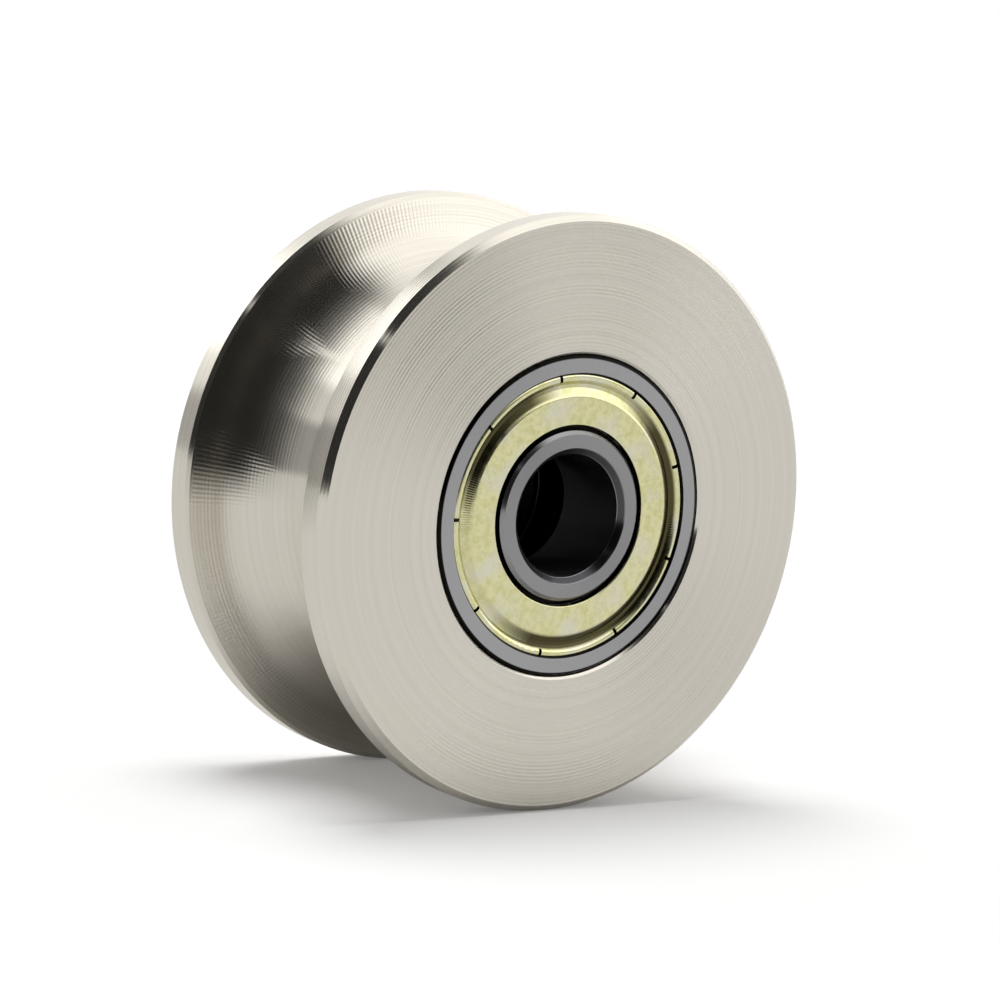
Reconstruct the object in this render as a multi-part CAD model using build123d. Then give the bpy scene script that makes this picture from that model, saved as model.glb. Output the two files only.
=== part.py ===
from build123d import *
import math
import os

# U-groove pulley wheel with a shielded ball bearing in each face.
# Millimetres. The axle line is Z, the origin is the wheel's centre, and the front face looks along +Z.

# Wheel
wheel_dia = 48.0
wheel_width = 22.0
rim_chamfer = 0.5         # outer corner of each end face
land_width = 1.9          # straight rim between that chamfer and the groove
edge_break = 0.3          # corner where each land turns into the groove
flank_height = 3.4        # straight side of the U, measured along the radius
flank_draft = 14.5        # degrees that the side leans out towards the rim
groove_depth = 7.0        # from the rim to the lowest line of the round bottom
seat_chamfer = 0.2        # lead-in of each bearing seat
shoulder_height = 1.5     # step between the seats that the outer rings stop against
bearing_recess = 0.1      # bearing faces lie this far below the wheel's faces

# Bearing envelope
bore_dia = 10.0
bearing_dia = 26.0
bearing_width = 8.0
bore_chamfer = 0.5        # inner ring, at the axle bore
ring_corner = 0.35        # round corner of the outer ring
inner_corner = 0.3        # outer corner of the inner ring's face

# Balls and raceways
ball_dia = 4.762
ball_count = 7
ball_play = 0.03          # radial gap between a ball and each raceway
race_relief = 0.095       # raceway section radius beyond the ball's radius
inner_race_depth = 0.8
outer_race_depth = 0.7
inner_step = 0.5          # inner ring's face land, below its shoulder
inner_step_length = 1.0

# Shields
sheet = 0.25
shield_gap = 0.4          # ring of daylight round the inner ring's face land
shield_dish = 0.2         # flat disc's top, below the bearing's face
channel_depth = 0.5       # pressed channel's floor, below the bearing's face
bead_depth = 0.12         # top of the crimped bead, below the bearing's face
slope_width = 0.7
channel_width = 0.55
bead_width = 0.7
press_radius = 0.2        # bend of the sheet's middle line
ledge = 0.8               # step in the outer ring that the shield stands on
ledge_depth = 0.85        # that step, below the bearing's face
lip = 0.12                # edge of the ring that holds the crimped rim in
lip_depth = 0.2
rim_play = 0.03           # between the crimped rim and its recess
slot_count = 9
slot_width = 0.28
slot_angle = 3.5          # first slot of the front shield, from +X

# Cage
cage_sheet = 0.35
cage_band = 1.8           # width of the ribbon along the radius
pocket_play = 0.1         # between a ball and its pocket
rivet_dia = 0.8
rivet_head_dia = 1.3
rivet_head_height = 0.25

# The rear bearing and the inside shields are turned by these angles, so that nothing lines up by design
front_turn = 11.0
rear_turn = 31.0
inside_shield_turn = 14.0

# Places worked out from the sizes above
bore_r = bore_dia / 2
bearing_r = bearing_dia / 2
ball_r = ball_dia / 2
pitch_r = (bore_r + bearing_r) / 2
face_z = bearing_width / 2
race_r = ball_r + race_relief
inner_bottom_r = pitch_r - ball_r - ball_play
outer_bottom_r = pitch_r + ball_r + ball_play
inner_shoulder_r = inner_bottom_r + inner_race_depth
outer_shoulder_r = outer_bottom_r - outer_race_depth
inner_land_r = inner_shoulder_r - inner_step
recess_r = outer_shoulder_r + ledge
bearing_z = wheel_width / 2 - bearing_recess - face_z
ball_step = 360 / ball_count


def turned(outline):
    # a closed outline of (radius, height) points, swept round the Z axis
    return revolve(Plane.XZ * make_face(outline), Axis.Z)


def groove_outline():
    # one side of the groove to the other, over the round bottom, as (radius, height)
    rim_r = wheel_dia / 2
    mouth_z = wheel_width / 2 - rim_chamfer - land_width
    flank_z = mouth_z - edge_break
    flank_r = rim_r - edge_break
    knee_r = flank_r - flank_height
    knee_z = flank_z - flank_height * math.tan(math.radians(flank_draft))
    upper = Polyline((rim_r, mouth_z), (flank_r, flank_z), (knee_r, knee_z))
    bottom = ThreePointArc((knee_r, knee_z), (rim_r - groove_depth, 0), (knee_r, -knee_z))
    lower = Polyline((knee_r, -knee_z), (flank_r, -flank_z), (rim_r, -mouth_z))
    return upper + bottom + lower


def wheel_body():
    rim_r = wheel_dia / 2
    end_z = wheel_width / 2
    mouth_z = end_z - rim_chamfer - land_width
    seat_z = end_z - bearing_recess - bearing_width
    shoulder_r = bearing_r - shoulder_height
    upper = Polyline(
        (shoulder_r, -seat_z),
        (shoulder_r, seat_z),
        (bearing_r, seat_z),
        (bearing_r, end_z - seat_chamfer),
        (bearing_r + seat_chamfer, end_z),
        (rim_r - rim_chamfer, end_z),
        (rim_r, end_z - rim_chamfer),
        (rim_r, mouth_z),
    )
    lower = Polyline(
        (rim_r, -mouth_z),
        (rim_r, rim_chamfer - end_z),
        (rim_r - rim_chamfer, -end_z),
        (bearing_r + seat_chamfer, -end_z),
        (bearing_r, seat_chamfer - end_z),
        (bearing_r, -seat_z),
        (shoulder_r, -seat_z),
    )
    return turned(upper + groove_outline() + lower)


def raceway(bottom_r, shoulder_r):
    # section arc of a ball track: from one shoulder over its deepest line to the other
    side = 1 if shoulder_r > bottom_r else -1
    centre_r = bottom_r + side * race_r
    half = math.sqrt(race_r**2 - (centre_r - shoulder_r) ** 2)
    return ThreePointArc((shoulder_r, half), (bottom_r, 0), (shoulder_r, -half)), half


def inner_ring():
    track, half = raceway(inner_bottom_r, inner_shoulder_r)
    step_z = face_z - inner_step_length
    top = Polyline(
        (bore_r, 0),
        (bore_r, face_z - bore_chamfer),
        (bore_r + bore_chamfer, face_z),
        (inner_land_r - inner_corner, face_z),
        (inner_land_r, face_z - inner_corner),
        (inner_land_r, step_z),
        (inner_shoulder_r, step_z),
        (inner_shoulder_r, half),
    )
    return turned(top + mirror(top, Plane.XZ) + track)


def outer_ring():
    track, half = raceway(outer_bottom_r, outer_shoulder_r)
    lip_r = recess_r - lip
    ledge_z = face_z - ledge_depth
    arc_offset = ring_corner * math.sqrt(0.5)
    corner = (bearing_r - ring_corner + arc_offset, face_z - ring_corner + arc_offset)
    top = (
        Line((bearing_r, 0), (bearing_r, face_z - ring_corner))
        + ThreePointArc((bearing_r, face_z - ring_corner), corner, (bearing_r - ring_corner, face_z))
        + Polyline(
            (bearing_r - ring_corner, face_z),
            (lip_r + lip, face_z),
            (lip_r, face_z - lip),
            (lip_r, face_z - lip_depth),
            (recess_r, face_z - lip_depth - lip),
            (recess_r, ledge_z),
            (outer_shoulder_r, ledge_z),
            (outer_shoulder_r, half),
        )
    )
    return turned(top + mirror(top, Plane.XZ) + track)


def shield_section():
    # middle line of the pressed sheet, from its bore to the crimped rim, thickened to both sides
    half = sheet / 2
    bore = inner_land_r + shield_gap + half
    rim = recess_r - rim_play - half
    bead_start = recess_r - bead_width
    channel_start = bead_start - channel_width
    flat_z = face_z - shield_dish - half
    channel_z = face_z - channel_depth - half
    bead_z = face_z - bead_depth - half
    rim_z = face_z - ledge_depth + rim_play + half
    middle = FilletPolyline(
        (bore, flat_z),
        (channel_start - slope_width, flat_z),
        (channel_start, channel_z),
        (bead_start - press_radius, channel_z),
        (bead_start + press_radius, bead_z),
        (rim, bead_z),
        (rim, rim_z),
        radius=press_radius,
    )
    return offset(middle, amount=half, side=Side.BOTH)


def shield():
    # slots cut through the crimped rim, so that its petals can be pressed out into the ring
    disc = turned(shield_section())
    reach = bead_width + ledge
    cutter = Pos(reach / 2, 0, 0) * Box(reach, slot_width, bearing_width)
    slots = PolarLocations(recess_r - bead_width, slot_count, slot_angle) * cutter
    return disc - slots


def tube(inner_r, outer_r, low_z, high_z):
    return turned(Polyline((inner_r, low_z), (outer_r, low_z), (outer_r, high_z), (inner_r, high_z), close=True))


def rivet_places():
    return PolarLocations(pitch_r, ball_count, ball_step / 2)


def cage_half():
    # the half above the balls' centres: flat lands with a round pocket over each ball
    inner_r = pitch_r - cage_band / 2
    outer_r = pitch_r + cage_band / 2
    pocket_r = ball_r + pocket_play
    balls = PolarLocations(pitch_r, ball_count)
    ribbon = tube(inner_r, outer_r, 0, cage_sheet) + balls * Sphere(pocket_r + cage_sheet)
    ribbon &= tube(inner_r, outer_r, 0, bearing_width)
    return ribbon - balls * Sphere(pocket_r) - rivet_places() * Cylinder(rivet_dia / 2, bearing_width)


def rivet():
    # shank through both halves, with a low round head at each end
    shank_r = rivet_dia / 2
    head_r = rivet_head_dia / 2
    top_z = cage_sheet + rivet_head_height
    head = TangentArc((0, top_z), (head_r, cage_sheet), tangent=(1, 0))
    top = head + Polyline((head_r, cage_sheet), (shank_r, cage_sheet), (shank_r, 0))
    return turned(top + mirror(top, Plane.XZ) + Line((0, top_z), (0, -top_z)))


def bearing_pieces():
    # every piece of one bearing about its own centre, its face shield towards +Z
    upper_shield = shield()
    upper_cage = cage_half()
    over = Rot(180, 0, 0)
    pieces = {
        "outer_ring": outer_ring(),
        "inner_ring": inner_ring(),
        "face_shield": upper_shield,
        "inside_shield": Rot(0, 0, inside_shield_turn) * over * upper_shield,
        "cage_face_half": upper_cage,
        "cage_inside_half": over * upper_cage,
        "cage_rivets": Compound(children=[place * rivet() for place in rivet_places()]),
    }
    for number, place in enumerate(PolarLocations(pitch_r, ball_count), start=1):
        pieces[f"ball_{number}"] = place * Sphere(ball_r)
    return pieces


def placed_nodes():
    # the shields keep their own angle; what rolls inside is turned with its bearing
    nodes = {"wheel_body": wheel_body()}
    still = ("outer_ring", "inner_ring", "face_shield", "inside_shield")
    front = Pos(0, 0, bearing_z)
    rear = Pos(0, 0, -bearing_z) * Rot(180, 0, 0)
    for name, piece in bearing_pieces().items():
        own_turn = 0 if name in still else front_turn
        nodes[f"front_{name}"] = front * Rot(0, 0, own_turn) * piece
        nodes[f"rear_{name}"] = rear * Rot(0, 0, rear_turn) * piece
    return nodes


os.makedirs("parts", exist_ok=True)
for node_name, node in placed_nodes().items():
    export_step(node, f"parts/{node_name}.step")
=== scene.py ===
import math
import bpy
from mathutils import Matrix, Vector


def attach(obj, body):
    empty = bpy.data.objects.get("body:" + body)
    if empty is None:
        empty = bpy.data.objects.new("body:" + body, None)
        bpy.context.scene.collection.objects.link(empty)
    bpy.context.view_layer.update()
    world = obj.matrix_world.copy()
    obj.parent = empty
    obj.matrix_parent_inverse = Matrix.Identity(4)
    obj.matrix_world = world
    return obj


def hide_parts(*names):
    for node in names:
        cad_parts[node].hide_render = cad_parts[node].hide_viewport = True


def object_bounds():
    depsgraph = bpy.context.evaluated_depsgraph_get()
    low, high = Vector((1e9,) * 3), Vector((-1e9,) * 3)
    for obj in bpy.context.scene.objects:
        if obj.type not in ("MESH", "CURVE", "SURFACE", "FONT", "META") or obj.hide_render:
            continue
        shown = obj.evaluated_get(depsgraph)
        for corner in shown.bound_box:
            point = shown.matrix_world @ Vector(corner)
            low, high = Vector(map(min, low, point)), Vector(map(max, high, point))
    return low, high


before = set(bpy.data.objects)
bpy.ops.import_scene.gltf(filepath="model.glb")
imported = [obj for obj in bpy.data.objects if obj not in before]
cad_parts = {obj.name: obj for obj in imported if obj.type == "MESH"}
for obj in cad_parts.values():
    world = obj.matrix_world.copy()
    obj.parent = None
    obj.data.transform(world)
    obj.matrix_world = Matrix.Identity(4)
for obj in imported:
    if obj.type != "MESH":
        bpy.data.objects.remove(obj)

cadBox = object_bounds()
millimetre = 0.001


# colours are written as sRGB hex and used as linear light
def linear(hexColour):
    channels = [int(hexColour[i:i + 2], 16) / 255 for i in (1, 3, 5)]
    return [c / 12.92 if c <= 0.04045 else ((c + 0.055) / 1.055) ** 2.4 for c in channels] + [1.0]


# adds one node to a tree, sets its plain settings and fills or links its inputs
def addNode(tree, kind, settings=None, **inputs):
    node = tree.nodes.new(kind)
    for name, value in (settings or {}).items():
        setattr(node, name, value)
    for name, value in inputs.items():
        key = int(name[1:]) if name[0] == "i" and name[1:].isdigit() else name.replace("_", " ")
        socket = node.inputs[key]
        if isinstance(value, bpy.types.NodeSocket):
            tree.links.new(value, socket)
        else:
            socket.default_value = value
    return node


def newMaterial(name):
    material = bpy.data.materials.new(name)
    material.use_nodes = True
    material.node_tree.nodes.clear()
    return material, material.node_tree


def finishMaterial(tree, shader):
    addNode(tree, "ShaderNodeOutputMaterial", None, Surface=shader)


def dress(nodeName, material):
    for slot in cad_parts[nodeName].material_slots:
        slot.material = material


# camera: where the photograph was taken from, measured on the wheel's circles
camera = {
    "place": (0.214, -171.85, 222.73),   # mm, from the wheel's centre
    "right": (-0.26158, 0.76231, 0.59199),
    "up": (-0.96518, -0.20660, -0.16044),
    "lens": 123.7,
    "sensor": 36.0,
    "nearest": 0.01,                     # m
    "farthest": 20,
}


def makeCamera():
    data = bpy.data.cameras.new("photoCamera")
    data.lens = camera["lens"]
    data.sensor_fit = "HORIZONTAL"
    data.sensor_width = camera["sensor"]
    data.clip_start = camera["nearest"]
    data.clip_end = camera["farthest"]
    item = bpy.data.objects.new("photoCamera", data)
    right = Vector(camera["right"]).normalized()
    up = Vector(camera["up"])
    up = (up - right * up.dot(right)).normalized()
    turn = Matrix((right, up, right.cross(up))).transposed()
    item.matrix_world = Matrix.Translation(Vector(camera["place"]) * millimetre) @ turn.to_4x4()
    bpy.context.scene.collection.objects.link(item)
    bpy.context.scene.camera = item
    print("camera ready")


# table and studio: directions are degrees round the axle (0 is the photograph's top, 90 its right) and
# degrees above the wheel's middle plane, towards its front face
studio = {
    "tableTilt": 167.5,       # where down is in the photograph: the wheel stands there on its rim
    "tableSize": 6.0,         # m
    "tableColour": "#f2f2f2",
    "tableGlow": 0.12,        # added where a camera or glass ray sees the table
    "mirrorGlow": 0.05,       # the same where steel reflects it
    "contactShadow": 0.4,       # painted shadow: how much of the table steel sees beside the wheel, where the table is painted darker
    "contactFrom": 0.004,     # m from where the wheel stands
    "contactTo": 0.017,
    "airLight": 0.40,         # even light from all round
    "domeRadius": 1.5,        # m
    "sheetGap": 0.02,         # m between one sheet and the next
    "sheetStep": 2,           # degrees that each face of a sheet spans
    "cardSteps": (60, 24),    # faces of a card, round and outwards
    "sunStrength": 1.95,
    "sunSpread": 34,          # degrees
    "sunRound": -14,
    "sunAbove": -9,
}

# sheets of light and dark on a dome, which only reflections see: limits and fades in degrees
sheets = [
    {"name": "softBox", "round": (-16, 70), "above": (-40, 62), "fade": (16, 6), "level": 1.6},
    {"name": "softCore", "round": (24, 76), "above": (-40, 62), "fade": (12, 6), "level": 1.95},
    {"name": "brightBack", "round": (-82, 76), "above": (-90, -4), "fade": (4, 12), "level": 1.25},
    {"name": "brightPatch", "round": (-64, -16), "above": (-90, -14), "fade": (6, 10), "level": 2.6},
    {"name": "greyBack", "round": (-110, -78), "above": (-90, -8), "fade": (4, 6), "level": 0.6},
    {"name": "greyEdge", "round": (56, 84), "above": (38, 68), "fade": (8, 10), "level": 0.5},
    {"name": "darkCeiling", "round": (0, 360), "above": (55, 90), "fade": (0, 10), "level": 0.03},
    {"name": "darkRoom", "round": (-112, -8), "above": (-14, 90), "fade": (12, 10), "level": 0.03},
    {"name": "stripLight", "round": (-53, -48), "above": (-30, 36), "fade": (1, 8), "level": 1.6},
]

# painted shade: black cards that only reflections see, held close to the wheel to darken what the steel mirrors:
# one over the groove's open side, one behind the bore, mm
shadeCards = [
    {"name": "grooveShadeCard", "round": (-110, -31), "away": (19.8, 30.5), "height": -2.0, "fade": (9, 0.5),
     "level": 0.02},
    {"name": "boreShadeCard", "round": (0, 360), "away": (0.0, 8.0), "height": -12.0, "fade": (0, 0.5),
     "level": 0.05},
]


def domePoint(around, above, radius):
    a = math.radians(around)
    e = math.radians(above)
    return Vector((-math.cos(a) * math.cos(e), math.sin(a) * math.cos(e), math.sin(e))) * radius


# 1 inside the limits, falling to 0 over the given width; the poles have no edge
def fadedEdge(position, limits, width):
    edges = [abs(position - limit) for limit in limits if abs(limit) not in (0, 90)]
    return min(1.0, min(edges) / width) if width and edges else 1.0


def makeSheet(values, second, columns, rows, placeOf):
    across, other = values["round"], values[second]
    points, cover = [], []
    for j in range(rows + 1):
        for i in range(columns + 1):
            around = across[0] + (across[1] - across[0]) * i / columns
            place = other[0] + (other[1] - other[0]) * j / rows
            points.append(placeOf(around, place))
            cover.append(fadedEdge(around, across, values["fade"][0]) * fadedEdge(place, other, values["fade"][1]))
    faces = [
        (k, k + 1, k + columns + 2, k + columns + 1)
        for j in range(rows) for k in range(j * (columns + 1), j * (columns + 1) + columns)
    ]
    mesh = bpy.data.meshes.new(values["name"])
    mesh.from_pydata(points, [], faces)
    mesh.attributes.new("cover", "FLOAT", "POINT").data.foreach_set("value", cover)
    item = bpy.data.objects.new(values["name"], mesh)
    bpy.context.scene.collection.objects.link(item)
    item.data.materials.append(sheetMaterial(values))
    item.visible_camera = False
    item.visible_diffuse = False
    item.visible_shadow = False
    item.visible_transmission = False


def sheetMaterial(values):
    material, tree = newMaterial(values["name"] + "Cloth")
    level = values["level"]
    glow = addNode(tree, "ShaderNodeEmission", None, Color=(level, level, level, 1), Strength=1.0)
    clear = addNode(tree, "ShaderNodeBsdfTransparent")
    cover = addNode(tree, "ShaderNodeAttribute", {"attribute_name": "cover"})
    mixed = addNode(tree, "ShaderNodeMixShader", None, Fac=cover.outputs["Fac"], i1=clear.outputs[0],
                    i2=glow.outputs[0])
    finishMaterial(tree, mixed.outputs[0])
    return material


def seenDirectly(tree):
    path = addNode(tree, "ShaderNodeLightPath")
    eye = addNode(tree, "ShaderNodeMath", {"operation": "MAXIMUM"},
                  i0=path.outputs["Is Camera Ray"], i1=path.outputs["Is Transmission Ray"])
    return eye.outputs[0], path.outputs["Is Glossy Ray"]


def tableMaterial():
    material, tree = newMaterial("paleTable")
    eye, mirror = seenDirectly(tree)
    place = addNode(tree, "ShaderNodeTexCoord").outputs["Object"]
    # painted shadow: for reflections the table darkens towards where the wheel stands
    stands = domePoint(studio["tableTilt"], 0, cadBox[1][0])
    apart = addNode(tree, "ShaderNodeVectorMath", {"operation": "DISTANCE"}, i0=place, i1=stands).outputs["Value"]
    shadowFade = addNode(tree, "ShaderNodeMapRange", {"interpolation_type": "SMOOTHSTEP"}, Value=apart,
                      From_Min=studio["contactFrom"], From_Max=studio["contactTo"], To_Min=studio["contactShadow"])
    straight = addNode(tree, "ShaderNodeMath", {"operation": "SUBTRACT"}, i0=1.0, i1=mirror)
    share = addNode(tree, "ShaderNodeMath", {"operation": "MAXIMUM"}, i0=straight.outputs[0], i1=shadowFade.outputs[0])
    tone = addNode(tree, "ShaderNodeMix", {"data_type": "RGBA"}, i0=share.outputs[0], i6=(0, 0, 0, 1),
                   i7=linear(studio["tableColour"]))
    lit = addNode(tree, "ShaderNodeBsdfDiffuse", None, Color=tone.outputs[2])
    reflected = addNode(tree, "ShaderNodeMath", {"operation": "MULTIPLY"}, i0=mirror, i1=share.outputs[0])
    toMirror = addNode(tree, "ShaderNodeMath", {"operation": "MULTIPLY"}, i0=reflected.outputs[0],
                       i1=studio["mirrorGlow"])
    amount = addNode(tree, "ShaderNodeMath", {"operation": "MULTIPLY_ADD"}, i0=eye, i1=studio["tableGlow"],
                     i2=toMirror.outputs[0])
    glow = addNode(tree, "ShaderNodeEmission", None, Color=(1, 1, 1, 1), Strength=amount.outputs[0])
    both = addNode(tree, "ShaderNodeAddShader", None, i0=lit.outputs[0], i1=glow.outputs[0])
    # from behind the table isn't there, so that no view of the wheel is closed off
    behind = addNode(tree, "ShaderNodeNewGeometry").outputs["Backfacing"]
    clear = addNode(tree, "ShaderNodeBsdfTransparent")
    shown = addNode(tree, "ShaderNodeMixShader", None, Fac=behind, i1=both.outputs[0], i2=clear.outputs[0])
    finishMaterial(tree, shown.outputs[0])
    return material


def makeStudio():
    down = domePoint(studio["tableTilt"], 0, 1)
    side = domePoint(studio["tableTilt"] + 90, 0, 1)
    front = Vector((0, 0, 1))
    rim = cadBox[1][0]
    size = studio["tableSize"] / 2
    corners = [down * rim + side * a * size + front * b * size for a, b in ((-1, -1), (1, -1), (1, 1), (-1, 1))]
    if side.cross(front).dot(down) > 0:
        corners.reverse()
    mesh = bpy.data.meshes.new("table")
    mesh.from_pydata(corners, [], [(0, 1, 2, 3)])
    mesh.materials.append(tableMaterial())
    table = bpy.data.objects.new("table", mesh)
    bpy.context.scene.collection.objects.link(table)

    world = bpy.data.worlds.new("studioAir")
    world.use_nodes = True
    tree = world.node_tree
    tree.nodes.clear()
    eye, mirror = seenDirectly(tree)
    seen = addNode(tree, "ShaderNodeMath", {"operation": "MAXIMUM"}, i0=eye, i1=mirror)
    level = studio["airLight"]
    air = addNode(tree, "ShaderNodeBackground", None, Color=(level, level, level, 1), Strength=1.0)
    white = addNode(tree, "ShaderNodeBackground", None, Color=(1, 1, 1, 1), Strength=1.0)
    mixed = addNode(tree, "ShaderNodeMixShader", None, Fac=seen.outputs[0], i1=air.outputs[0], i2=white.outputs[0])
    addNode(tree, "ShaderNodeOutputWorld", None, Surface=mixed.outputs[0])
    bpy.context.scene.world = world

    for order, values in enumerate(sheets):
        radius = studio["domeRadius"] - studio["sheetGap"] * order
        spans = [round((values[key][1] - values[key][0]) / studio["sheetStep"]) for key in ("round", "above")]
        makeSheet(values, "above", *spans, lambda around, above: domePoint(around, above, radius))
    for values in shadeCards:
        lift = Vector((0, 0, values["height"] * millimetre))
        makeSheet(values, "away", *studio["cardSteps"],
                  lambda around, away: domePoint(around, 0, away * millimetre) + lift)

    lamp = bpy.data.lights.new("softSun", "SUN")
    lamp.energy = studio["sunStrength"]
    lamp.angle = math.radians(studio["sunSpread"])
    item = bpy.data.objects.new("softSun", lamp)
    place = domePoint(studio["sunRound"], studio["sunAbove"], 1.0)
    item.matrix_world = Matrix.Translation(place) @ (-place).to_track_quat("-Z", "Y").to_matrix().to_4x4()
    item.visible_glossy = False
    bpy.context.scene.collection.objects.link(item)
    bpy.context.scene.view_settings.view_transform = "Standard"
    print("studio ready")


# the turned wheel: its section is turned round the axle in Geometry Nodes, with every corner broken as a file
# leaves it. Millimetres, as (distance from the axle, height, corner radius)
wheel = {
    "rim": 24.0,
    "halfWidth": 11.0,
    "chamfer": 0.5,
    "mouth": 8.6,             # height where the straight rim ends
    "edgeBreak": 0.3,
    "flank": 3.4,
    "flankSlant": 14.5,       # degrees
    "grooveBottom": 17.0,
    "grooveSteps": 36,
    "seat": 13.0,
    "seatDepth": 2.9,
    "seatChamfer": 0.2,
    "shoulder": 11.5,
    "cornerRound": 0.05,
    "kneeBlend": 0.8,         # share of the round bottom's half that runs true before it eases into the flank
    "cornerSteps": 3,
    "kneeSteps": 12,
    "cornerShare": 0.4,       # a corner takes at most this share of the side next to it
    "holdBack": 0.03,         # flat strip kept beside each corner, so that the flats shade flat
    "holdShare": 0.1,         # and at most this share of that side
    "turns": 600,             # flats round the wheel
    "closeWithin": 0.001,     # mm between points that become one
    "chatterCount": 388,      # waves round the flanks, left by the tool as it sprang
}


# a curve from start to end that leaves and arrives along the two lines through corner
def bend(start, corner, end, steps):
    shares = [i / steps for i in range(steps + 1)]
    return [start * (1 - t) ** 2 + corner * 2 * t * (1 - t) + end * t ** 2 for t in shares]


# upper half of the section, from the bottom of the groove in to the middle of the bore
def halfSection():
    w = wheel
    flankTop = Vector((w["rim"] - w["edgeBreak"], w["mouth"] - w["edgeBreak"]))
    slant = math.radians(w["flankSlant"])
    knee = flankTop - w["flank"] * Vector((1, math.tan(slant)))
    rise = knee.x - w["grooveBottom"]
    radius = (rise ** 2 + knee.y ** 2) / (2 * rise)
    reach = math.asin(knee.y / radius) * w["kneeBlend"]
    steps = w["grooveSteps"] // 2
    arc = []
    for i in range(steps + 1):
        a = reach * i / steps
        arc.append(Vector((w["grooveBottom"] + radius * (1 - math.cos(a)), radius * math.sin(a))))
    # the round bottom's last direction meets the flank's line at a corner, which is bent over
    ahead = Vector((math.sin(reach), math.cos(reach)))
    up = Vector((math.cos(slant), math.sin(slant)))
    gap = knee - arc[-1]
    length = (gap.x * up.y - gap.y * up.x) / (ahead.x * up.y - ahead.y * up.x)
    corner = arc[-1] + ahead * length
    eased = bend(arc[-1], corner, corner + up * length, w["kneeSteps"])
    small, top = w["cornerRound"], w["halfWidth"]
    return [(*point, 0) for point in arc[:-1] + eased] + [
        (*flankTop, small),
        (w["rim"], w["mouth"], small),
        (w["rim"], top - w["chamfer"], small),
        (w["rim"] - w["chamfer"], top, small),
        (w["seat"] + w["seatChamfer"], top, small / 2),
        (w["seat"], top - w["seatChamfer"], small / 2),
        (w["seat"], w["seatDepth"], small / 2),
        (w["shoulder"], w["seatDepth"], small / 2),
        (w["shoulder"], 0, 0),
    ]


# each corner becomes a short arc between two strips that lie flat on its sides
def roundCorners(corners):
    points = []
    for before, corner, after in zip(corners, corners[1:], corners[2:]):
        here = Vector(corner[:2])
        back = Vector(before[:2]) - here
        ahead = Vector(after[:2]) - here
        if corner[2] == 0:
            points.append(here)
            continue
        turn = math.pi - back.angle(ahead)
        cut = min(corner[2] * math.tan(turn / 2), *(side.length * wheel["cornerShare"] for side in (back, ahead)))
        start = here + back.normalized() * cut
        end = here + ahead.normalized() * cut
        points.append(start + back.normalized() * min(wheel["holdBack"], back.length * wheel["holdShare"]))
        points.extend(bend(start, here, end, wheel["cornerSteps"]))
        points.append(end + ahead.normalized() * min(wheel["holdBack"], ahead.length * wheel["holdShare"]))
    return points


def sectionMesh():
    upper = halfSection()
    lower = [(r, -z, corner) for r, z, corner in reversed(upper[1:-1])]
    whole = [upper[-1]] + lower + upper[:-1]   # the seam is in the bore, where nothing shows it
    points = roundCorners([whole[-1]] + whole + [whole[0]])
    points.append(points[0])
    along = [0.0]
    for here, after in zip(points, points[1:]):
        along.append(along[-1] + (after - here).length)
    mesh = bpy.data.meshes.new("wheelSection")
    mesh.from_pydata([(r * millimetre, 0, z * millimetre) for r, z in points],
                     [(i, i + 1) for i in range(len(points) - 1)], [])
    mesh.attributes.new("along", "FLOAT", "POINT").data.foreach_set("value", along)
    return mesh


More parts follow.
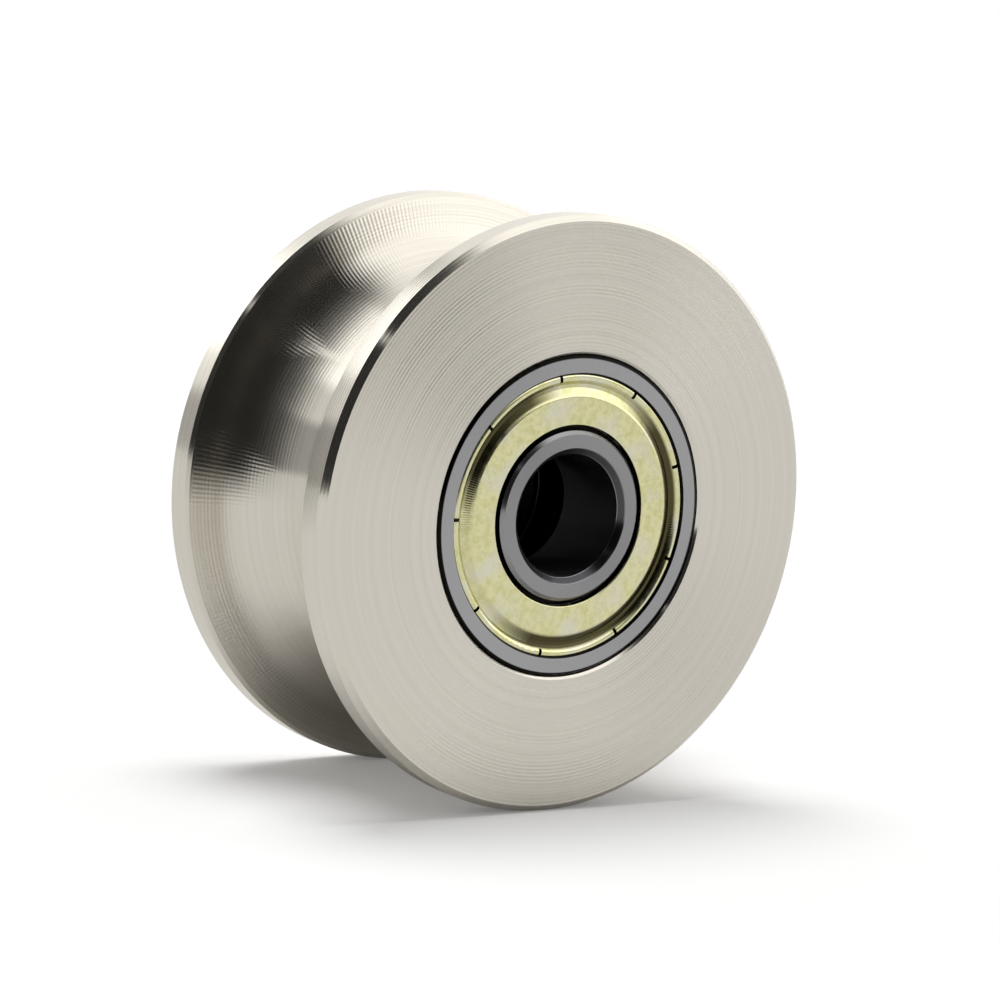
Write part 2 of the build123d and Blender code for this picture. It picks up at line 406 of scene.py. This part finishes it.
# Geometry Nodes: a grid of turns by section points is wrapped round the axle, point for point
def turningTree():
    tree = bpy.data.node_groups.new("turnSection", "GeometryNodeTree")
    face = tree.interface
    face.new_socket("Section", in_out="INPUT", socket_type="NodeSocketGeometry")
    turns = face.new_socket("Turns", in_out="INPUT", socket_type="NodeSocketInt")
    steel = face.new_socket("Steel", in_out="INPUT", socket_type="NodeSocketMaterial")
    face.new_socket("Turned", in_out="OUTPUT", socket_type="NodeSocketGeometry")
    given = addNode(tree, "NodeGroupInput")
    section, count = given.outputs["Section"], given.outputs["Turns"]
    size = addNode(tree, "GeometryNodeAttributeDomainSize", {"component": "MESH"}, Geometry=section)
    rows = size.outputs["Point Count"]
    columns = addNode(tree, "ShaderNodeMath", {"operation": "ADD"}, i0=count, i1=1.0)
    grid = addNode(tree, "GeometryNodeMeshGrid", None, Vertices_X=columns.outputs[0], Vertices_Y=rows)
    index = addNode(tree, "GeometryNodeInputIndex").outputs[0]
    share = addNode(tree, "ShaderNodeMath", {"operation": "DIVIDE"}, i0=index, i1=rows)
    column = addNode(tree, "ShaderNodeMath", {"operation": "FLOOR"}, i0=share.outputs[0])
    row = addNode(tree, "ShaderNodeMath", {"operation": "MODULO"}, i0=index, i1=rows)
    point = addNode(tree, "GeometryNodeSampleIndex", {"data_type": "FLOAT_VECTOR"}, Geometry=section,
                    Value=addNode(tree, "GeometryNodeInputPosition").outputs[0], Index=row.outputs[0])
    length = addNode(tree, "GeometryNodeInputNamedAttribute", {"data_type": "FLOAT"}, Name="along")
    along = addNode(tree, "GeometryNodeSampleIndex", {"data_type": "FLOAT"}, Geometry=section,
                    Value=length.outputs[0], Index=row.outputs[0])
    part = addNode(tree, "ShaderNodeMath", {"operation": "DIVIDE"}, i0=column.outputs[0], i1=count)
    angle = addNode(tree, "ShaderNodeMath", {"operation": "MULTIPLY"}, i0=part.outputs[0], i1=math.tau)
    turnedPoint = addNode(tree, "ShaderNodeVectorRotate", {"rotation_type": "Z_AXIS"}, Vector=point.outputs[0],
                          Angle=angle.outputs[0])
    wrapped = addNode(tree, "GeometryNodeSetPosition", None, Geometry=grid.outputs["Mesh"],
                      Position=turnedPoint.outputs[0])
    marked = addNode(tree, "GeometryNodeStoreNamedAttribute", {"data_type": "FLOAT", "domain": "POINT"},
                     Geometry=wrapped.outputs[0], Name="along", Value=along.outputs[0])
    closed = addNode(tree, "GeometryNodeMergeByDistance", None, Geometry=marked.outputs[0],
                     Distance=wheel["closeWithin"] * millimetre)
    smooth = addNode(tree, "GeometryNodeSetShadeSmooth", None, Geometry=closed.outputs[0])
    real = addNode(tree, "GeometryNodeRealizeInstances", None, Geometry=smooth.outputs[0])
    dressed = addNode(tree, "GeometryNodeSetMaterial", None, Geometry=real.outputs[0],
                      Material=given.outputs["Steel"])
    addNode(tree, "NodeGroupOutput", None, Turned=dressed.outputs[0])
    return tree, turns.identifier, steel.identifier


def plainMesh(item, name):
    graph = bpy.context.evaluated_depsgraph_get()
    made = bpy.data.meshes.new_from_object(item.evaluated_get(graph))
    made.name = name
    item.modifiers.clear()
    item.data = made
    return item


def makeWheel(steelMaterial):
    item = bpy.data.objects.new("turned_wheel", sectionMesh())
    bpy.context.scene.collection.objects.link(item)
    tree, turnsKey, steelKey = turningTree()
    made = item.modifiers.new("turning", "NODES")
    made.node_group = tree
    made[turnsKey] = wheel["turns"]
    made[steelKey] = steelMaterial
    plainMesh(item, "turned_wheel")
    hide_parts("wheel_body")
    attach(item, "wheel")
    print("wheel ready", len(item.data.polygons), "faces")


# lathe-turned stainless steel: a mirror drawn out across the tool's rings, which run round the axle, so every
# light in it becomes a fan that widens from the axle outwards
steel = {
    "colour": "#cfcabf",
    "dull": "#c8c3b8",         # between rings that the tool burnished and rings that it tore
    "faceRoughness": 0.17,
    "grooveRoughness": 0.21,
    "stretch": 1.0,
    "across": 0.25,            # share of a full turn: a highlight is drawn out across the rings
    "faceFrom": 10.4,          # mm from the middle plane to where the end faces and their chamfers start
    "ringPitch": 0.3,          # mm, feed of the tool
    "unevenSize": 1.6,         # mm over which the furrows grow deeper and shallower
    "uneven": (0.35, 0.65),    # noise at which a furrow is shallowest and deepest
    "shallowest": 0.35,        # as a share of the deepest furrow
    "scratchSize": 0.11,       # mm
    "scratchDepth": 0.45,      # as a share of a furrow's
    "tornSize": 0.5,           # mm
    "tornRough": 0.75,
    "torn": (0.42, 0.68),      # noise between which the steel turns dull
    "faceRings": 0.0031,       # mm, depth of the furrows
    "grooveRings": 0.0029,
    "chatterHeight": 0.0026,   # mm
    "chatterFrom": 4.4,        # mm from the middle plane: none nearer
    "chatterFull": 6.8,
    "chatterTo": 8.25,
    "chatterLean": 4.0,        # mm of radius in which the waves shift by one
}


# place, distance from the axle, height and angle round it, in metres and radians
def polar(tree):
    place = addNode(tree, "ShaderNodeTexCoord").outputs["Object"]
    parts = addNode(tree, "ShaderNodeSeparateXYZ", None, Vector=place)
    flat = addNode(tree, "ShaderNodeCombineXYZ", None, X=parts.outputs[0], Y=parts.outputs[1])
    radius = addNode(tree, "ShaderNodeVectorMath", {"operation": "LENGTH"}, i0=flat.outputs[0]).outputs["Value"]
    angle = addNode(tree, "ShaderNodeMath", {"operation": "ARCTAN2"}, i0=parts.outputs[1], i1=parts.outputs[0])
    return place, radius, parts.outputs[2], angle.outputs[0]


def turnedStainless():
    material, tree = newMaterial("turnedStainlessSteel")
    _, radius, height, angle = polar(tree)
    along = addNode(tree, "ShaderNodeAttribute", {"attribute_name": "along"}).outputs["Fac"]
    # one furrow for each turn of the work, deeper where the tool rubbed
    turn = addNode(tree, "ShaderNodeMath", {"operation": "MULTIPLY"}, i0=along, i1=math.tau / steel["ringPitch"])
    furrow = addNode(tree, "ShaderNodeMath", {"operation": "SINE"}, i0=turn.outputs[0])
    uneven = addNode(tree, "ShaderNodeTexNoise", {"noise_dimensions": "1D"}, W=along, Scale=1 / steel["unevenSize"],
                     Detail=1.0).outputs[0]
    deep = addNode(tree, "ShaderNodeMapRange", None, Value=uneven, From_Min=steel["uneven"][0],
                   From_Max=steel["uneven"][1], To_Min=steel["shallowest"])
    scratch = addNode(tree, "ShaderNodeTexNoise", {"noise_dimensions": "1D"}, W=along,
                      Scale=1 / steel["scratchSize"], Detail=2.0).outputs[0]
    furrows = addNode(tree, "ShaderNodeMath", {"operation": "MULTIPLY"}, i0=furrow.outputs[0], i1=deep.outputs[0])
    rings = addNode(tree, "ShaderNodeMath", {"operation": "MULTIPLY_ADD"}, i0=scratch, i1=steel["scratchDepth"],
                    i2=furrows.outputs[0]).outputs[0]
    away = addNode(tree, "ShaderNodeMath", {"operation": "ABSOLUTE"}, i0=height).outputs[0]
    onFace = addNode(tree, "ShaderNodeMath", {"operation": "GREATER_THAN"}, i0=away,
                     i1=steel["faceFrom"] * millimetre).outputs[0]
    depth = addNode(tree, "ShaderNodeMapRange", None, Value=onFace, To_Min=steel["grooveRings"] * millimetre,
                    To_Max=steel["faceRings"] * millimetre)
    ringBump = addNode(tree, "ShaderNodeBump", None, Height=rings, Strength=1.0, Distance=depth.outputs[0])
    # chatter stands across the rings on the flanks and leans a little with the radius
    lean = addNode(tree, "ShaderNodeMath", {"operation": "MULTIPLY"}, i0=radius,
                   i1=math.tau / (steel["chatterLean"] * millimetre))
    phase = addNode(tree, "ShaderNodeMath", {"operation": "MULTIPLY_ADD"}, i0=angle, i1=wheel["chatterCount"],
                    i2=lean.outputs[0])
    wave = addNode(tree, "ShaderNodeMath", {"operation": "SINE"}, i0=phase.outputs[0])
    onFlank = addNode(tree, "ShaderNodeMapRange", None, Value=away, From_Min=steel["chatterFrom"] * millimetre,
                      From_Max=steel["chatterFull"] * millimetre)
    offFace = addNode(tree, "ShaderNodeMath", {"operation": "LESS_THAN"}, i0=away,
                      i1=steel["chatterTo"] * millimetre)
    only = addNode(tree, "ShaderNodeMath", {"operation": "MULTIPLY"}, i0=onFlank.outputs[0], i1=offFace.outputs[0])
    waveHeight = addNode(tree, "ShaderNodeMath", {"operation": "MULTIPLY"}, i0=wave.outputs[0], i1=only.outputs[0])
    bump = addNode(tree, "ShaderNodeBump", None, Height=waveHeight.outputs[0], Strength=1.0,
                   Distance=steel["chatterHeight"] * millimetre, Normal=ringBump.outputs[0])
    rough = addNode(tree, "ShaderNodeMapRange", None, Value=onFace, To_Min=steel["grooveRoughness"],
                    To_Max=steel["faceRoughness"])
    torn = addNode(tree, "ShaderNodeTexNoise", {"noise_dimensions": "1D"}, W=along,
                   Scale=1 / steel["tornSize"], Detail=5.0, Roughness=steel["tornRough"]).outputs[0]
    share = addNode(tree, "ShaderNodeMapRange", None, Value=torn, From_Min=steel["torn"][0],
                    From_Max=steel["torn"][1])
    tint = addNode(tree, "ShaderNodeMix", {"data_type": "RGBA"}, i0=share.outputs[0], i6=linear(steel["colour"]),
                   i7=linear(steel["dull"]))
    tangent = addNode(tree, "ShaderNodeTangent", {"direction_type": "RADIAL", "axis": "Z"})
    shader = addNode(tree, "ShaderNodeBsdfPrincipled", None, Base_Color=tint.outputs[2], Metallic=1.0,
                     Roughness=rough.outputs[0], Anisotropic=steel["stretch"],
                     Anisotropic_Rotation=steel["across"],
                     Normal=bump.outputs[0], Tangent=tangent.outputs[0])
    finishMaterial(tree, shader.outputs[0])
    return material


# ground bearing steel: bluish grey, with fine grinding rings that pull a light into a soft arc
bearingRing = {
    "colour": "#9a9a9b",
    # painted shade: the inner ring is a darker copy of the same ground steel
    "inner": "#8b8a8b",
    "innerTo": 7.3,           # mm from the axle: the inner ring ends before, the outer ring starts after
    # painted shade: near-black for the seams next to the wheel, round the shield's rim and beside the inner ring
    "seamShade": "#14120f",
    "seamShadeFrom": 12.6,        # mm
    "seamShadeFade": 0.08,        # mm
    "lipFrom": 11.2,          # mm, the edge that holds the shield's rim in
    "lipTo": 11.5,            # mm
    "gapFrom": 6.86,          # mm, the inner ring's wall beside the shield
    "mouth": "#48484b",       # lead-in chamfer of the bore, ground more coarsely
    "mouthFrom": 5.03,        # mm
    "mouthTo": 5.5,           # mm
    "mouthFade": 0.1,         # mm
    "roughness": 0.24,
    "stretch": 0.7,
    "across": 0.25,           # share of a full turn, as on the wheel
    "ringPitch": 0.09,        # mm, as coarse as the grinding has to be to show
    "ringHeight": 0.0008,     # mm
    "speck": 0.12,            # mm
    "speckHeight": 0.0011,    # mm
}


def groundRing():
    material, tree = newMaterial("groundBearingSteel")
    place, radius, height, _ = polar(tree)
    along = addNode(tree, "ShaderNodeMath", {"operation": "ADD"}, i0=radius, i1=height).outputs[0]
    rings = addNode(tree, "ShaderNodeTexNoise", {"noise_dimensions": "1D"}, W=along,
                    Scale=1 / (bearingRing["ringPitch"] * millimetre), Detail=3.0)
    ringBump = addNode(tree, "ShaderNodeBump", None, Height=rings.outputs[0], Strength=1.0,
                       Distance=bearingRing["ringHeight"] * millimetre)
    speck = addNode(tree, "ShaderNodeTexNoise", None, Vector=place, Scale=1 / (bearingRing["speck"] * millimetre),
                    Detail=2.0)
    bump = addNode(tree, "ShaderNodeBump", None, Height=speck.outputs[0], Strength=1.0,
                   Distance=bearingRing["speckHeight"] * millimetre, Normal=ringBump.outputs[0])
    # painted shade: the round corner next to the wheel, the edge round the shield and the inner ring's wall beside
    # the shield are painted near-black
    edge = bearingRing["seamShadeFrom"] * millimetre
    shadedSeam = addNode(tree, "ShaderNodeMapRange", None, Value=radius, From_Min=edge,
                    From_Max=edge + bearingRing["seamShadeFade"] * millimetre)
    # painted shade: the darker copy of the steel goes on the inner ring
    outer = addNode(tree, "ShaderNodeMath", {"operation": "GREATER_THAN"}, i0=radius,
                    i1=bearingRing["innerTo"] * millimetre)
    ground = addNode(tree, "ShaderNodeMix", {"data_type": "RGBA"}, i0=outer.outputs[0],
                     i6=linear(bearingRing["inner"]), i7=linear(bearingRing["colour"]))
    lead = addNode(tree, "ShaderNodeMapRange", None, Value=radius, From_Min=bearingRing["mouthTo"] * millimetre,
                   From_Max=(bearingRing["mouthTo"] - bearingRing["mouthFade"]) * millimetre)
    offWall = addNode(tree, "ShaderNodeMath", {"operation": "GREATER_THAN"}, i0=radius,
                      i1=bearingRing["mouthFrom"] * millimetre)
    onLead = addNode(tree, "ShaderNodeMath", {"operation": "MULTIPLY"}, i0=lead.outputs[0], i1=offWall.outputs[0])
    ground = addNode(tree, "ShaderNodeMix", {"data_type": "RGBA"}, i0=onLead.outputs[0], i6=ground.outputs[2],
                     i7=linear(bearingRing["mouth"]))
    wall = addNode(tree, "ShaderNodeMath", {"operation": "GREATER_THAN"}, i0=radius,
                   i1=bearingRing["gapFrom"] * millimetre)
    inner = addNode(tree, "ShaderNodeMath", {"operation": "SUBTRACT"}, i0=wall.outputs[0], i1=outer.outputs[0])
    lipIn, lipOut = (
        addNode(tree, "ShaderNodeMath", {"operation": side}, i0=radius, i1=bearingRing[key] * millimetre).outputs[0]
        for side, key in (("GREATER_THAN", "lipFrom"), ("LESS_THAN", "lipTo"))
    )
    lip = addNode(tree, "ShaderNodeMath", {"operation": "MULTIPLY"}, i0=lipIn, i1=lipOut)
    seams = addNode(tree, "ShaderNodeMath", {"operation": "MAXIMUM"}, i0=shadedSeam.outputs[0], i1=lip.outputs[0])
    dark = addNode(tree, "ShaderNodeMath", {"operation": "MAXIMUM"}, i0=inner.outputs[0], i1=seams.outputs[0])
    # painted shade: the seams take the near-black colour
    tint = addNode(tree, "ShaderNodeMix", {"data_type": "RGBA"}, i0=dark.outputs[0], i6=ground.outputs[2],
                   i7=linear(bearingRing["seamShade"]))
    tangent = addNode(tree, "ShaderNodeTangent", {"direction_type": "RADIAL", "axis": "Z"})
    shader = addNode(tree, "ShaderNodeBsdfPrincipled", None, Base_Color=tint.outputs[2], Metallic=1.0,
                     Roughness=bearingRing["roughness"], Anisotropic=bearingRing["stretch"],
                     Anisotropic_Rotation=bearingRing["across"], Normal=bump.outputs[0],
                     Tangent=tangent.outputs[0])
    finishMaterial(tree, shader.outputs[0])
    return material


# zinc-plated sheet with a yellow chromate: the film clouds between straw and green and dulls where it is thick
zinc = {
    "colour": "#d6d1a4",
    "cloud": "#c6c68f",
    "cloudSize": 0.6,         # mm
    "cloudRough": 0.65,
    "clouded": (0.4, 0.65),   # noise between which one colour turns into the other
    "pale": "#d2cfba",        # where the film is thin
    "paleSize": 2.6,          # mm
    "thinned": (0.45, 0.7),   # noise between which the film thins out
    "roughness": 0.15,
    "dulled": 0.28,           # roughness in the clouds
    "dulling": (0.35, 0.7),   # noise between which it sets in
    "grain": 0.3,             # mm
    "grainHeight": 0.0014,    # mm
    # painted shade: dark olive painted into the pressed channel, stronger on two sides round the axle
    "channelShade": "#4d4830",
    "channelShadeMiddle": 10.28,      # mm from the axle, where the pressed channel lies
    "channelShadeReach": 0.62,        # mm to each side
    "channelShadeCore": 0.7,          # share of that reach over which it grows to its full depth
    "channelShadeLeast": 0.1,         # share of the painted shade that is there all round
    "channelShadeSides": ((70, -0.2, 0.3), (-118, 0.76, 0.93)),   # degrees, and between which cosines of the turn away
    "pressCount": 340,        # fine waves round the slope, where the die dragged
    "pressHeight": 0.0022,    # mm
    "inside": "#3a392f",      # painted shade: the shields between the bearings, painted dark for the shade they lie in
}


def platedSheet(name, clean, cloudy, thin):
    material, tree = newMaterial(name)
    place, radius, _, angle = polar(tree)
    clouds = addNode(tree, "ShaderNodeTexNoise", None, Vector=place, Scale=1 / (zinc["cloudSize"] * millimetre),
                     Detail=4.0, Roughness=zinc["cloudRough"]).outputs[0]
    share = addNode(tree, "ShaderNodeMapRange", None, Value=clouds, From_Min=zinc["clouded"][0],
                    From_Max=zinc["clouded"][1])
    clouded = addNode(tree, "ShaderNodeMix", {"data_type": "RGBA"}, i0=share.outputs[0], i6=linear(clean),
                      i7=linear(cloudy))
    broad = addNode(tree, "ShaderNodeTexNoise", None, Vector=place, Scale=1 / (zinc["paleSize"] * millimetre),
                    Detail=3.0)
    faint = addNode(tree, "ShaderNodeMapRange", None, Value=broad.outputs[0], From_Min=zinc["thinned"][0],
                    From_Max=zinc["thinned"][1])
    tint = addNode(tree, "ShaderNodeMix", {"data_type": "RGBA"}, i0=faint.outputs[0], i6=clouded.outputs[2],
                   i7=linear(thin))
    # painted shade: the pressed channel is painted dark olive, in full on two sides round the axle and thinly all
    # round
    off = addNode(tree, "ShaderNodeMath", {"operation": "SUBTRACT"}, i0=radius, i1=zinc["channelShadeMiddle"] * millimetre)
    far = addNode(tree, "ShaderNodeMath", {"operation": "ABSOLUTE"}, i0=off.outputs[0])
    inChannel = addNode(tree, "ShaderNodeMapRange", None, Value=far.outputs[0], From_Min=zinc["channelShadeReach"] * millimetre,
                    From_Max=zinc["channelShadeReach"] * millimetre * zinc["channelShadeCore"])
    shadedSide = zinc["channelShadeLeast"]
    for side, low, high in zinc["channelShadeSides"]:
        turned = addNode(tree, "ShaderNodeMath", {"operation": "SUBTRACT"}, i0=angle, i1=math.radians(side))
        facing = addNode(tree, "ShaderNodeMath", {"operation": "COSINE"}, i0=turned.outputs[0])
        there = addNode(tree, "ShaderNodeMapRange", None, Value=facing.outputs[0], From_Min=low, From_Max=high)
        shadedSide = addNode(tree, "ShaderNodeMath", {"operation": "MAXIMUM"}, i0=there.outputs[0], i1=shadedSide).outputs[0]
    amount = addNode(tree, "ShaderNodeMath", {"operation": "MULTIPLY"}, i0=inChannel.outputs[0], i1=shadedSide)
    shadedChannel = addNode(tree, "ShaderNodeMix", {"data_type": "RGBA"}, i0=amount.outputs[0], i6=tint.outputs[2],
                     i7=linear(zinc["channelShade"]))
    rough = addNode(tree, "ShaderNodeMapRange", None, Value=clouds, From_Min=zinc["dulling"][0],
                    From_Max=zinc["dulling"][1], To_Min=zinc["roughness"], To_Max=zinc["dulled"])
    grain = addNode(tree, "ShaderNodeTexNoise", None, Vector=place, Scale=1 / (zinc["grain"] * millimetre),
                    Detail=3.0).outputs[0]
    grainBump = addNode(tree, "ShaderNodeBump", None, Height=grain, Strength=1.0,
                        Distance=zinc["grainHeight"] * millimetre)
    waves = addNode(tree, "ShaderNodeMath", {"operation": "MULTIPLY"}, i0=angle, i1=zinc["pressCount"])
    dragged = addNode(tree, "ShaderNodeMath", {"operation": "SINE"}, i0=waves.outputs[0])
    onSlope = addNode(tree, "ShaderNodeMath", {"operation": "MULTIPLY"}, i0=dragged.outputs[0], i1=inChannel.outputs[0])
    bump = addNode(tree, "ShaderNodeBump", None, Height=onSlope.outputs[0], Strength=1.0,
                   Distance=zinc["pressHeight"] * millimetre, Normal=grainBump.outputs[0])
    shader = addNode(tree, "ShaderNodeBsdfPrincipled", None, Base_Color=shadedChannel.outputs[2], Metallic=1.0,
                     Roughness=rough.outputs[0], Normal=bump.outputs[0])
    finishMaterial(tree, shader.outputs[0])
    return material


# polished balls mirror the whole room
ballSteel = {"colour": "#b4b4b6", "roughness": 0.05}

# pressed sheet of the cage: bright but a little scuffed
cageSheet = {"colour": "#a8a59c", "roughness": 0.34, "grain": 0.4, "grainHeight": 0.002}


def hiddenSteel(name, values):
    material, tree = newMaterial(name)
    shader = addNode(tree, "ShaderNodeBsdfPrincipled", None, Base_Color=linear(values["colour"]), Metallic=1.0,
                     Roughness=values["roughness"])
    if "grain" in values:
        place = addNode(tree, "ShaderNodeTexCoord").outputs["Object"]
        grain = addNode(tree, "ShaderNodeTexNoise", None, Vector=place, Scale=1 / (values["grain"] * millimetre))
        bump = addNode(tree, "ShaderNodeBump", None, Height=grain.outputs[0], Strength=1.0,
                       Distance=values["grainHeight"] * millimetre)
        tree.links.new(bump.outputs[0], shader.inputs["Normal"])
    finishMaterial(tree, shader.outputs[0])
    return material


def dressAll():
    ring = groundRing()
    shield = platedSheet("yellowZincPlatedSheet", zinc["colour"], zinc["cloud"], zinc["pale"])
    shadedInside = platedSheet("shadedZincPlatedSheet", zinc["inside"], zinc["inside"], zinc["inside"])
    ball = hiddenSteel("polishedBallSteel", ballSteel)
    cage = hiddenSteel("pressedCageSteel", cageSheet)
    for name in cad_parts:
        if name.endswith("_ring"):
            dress(name, ring)
        elif name.endswith("_inside_shield"):
            dress(name, shadedInside)
        elif name.endswith("_face_shield"):
            dress(name, shield)
        elif "ball" in name:
            dress(name, ball)
        elif "cage" in name:
            dress(name, cage)
    makeWheel(turnedStainless())
    print("materials ready")


makeCamera()
makeStudio()
dressAll()
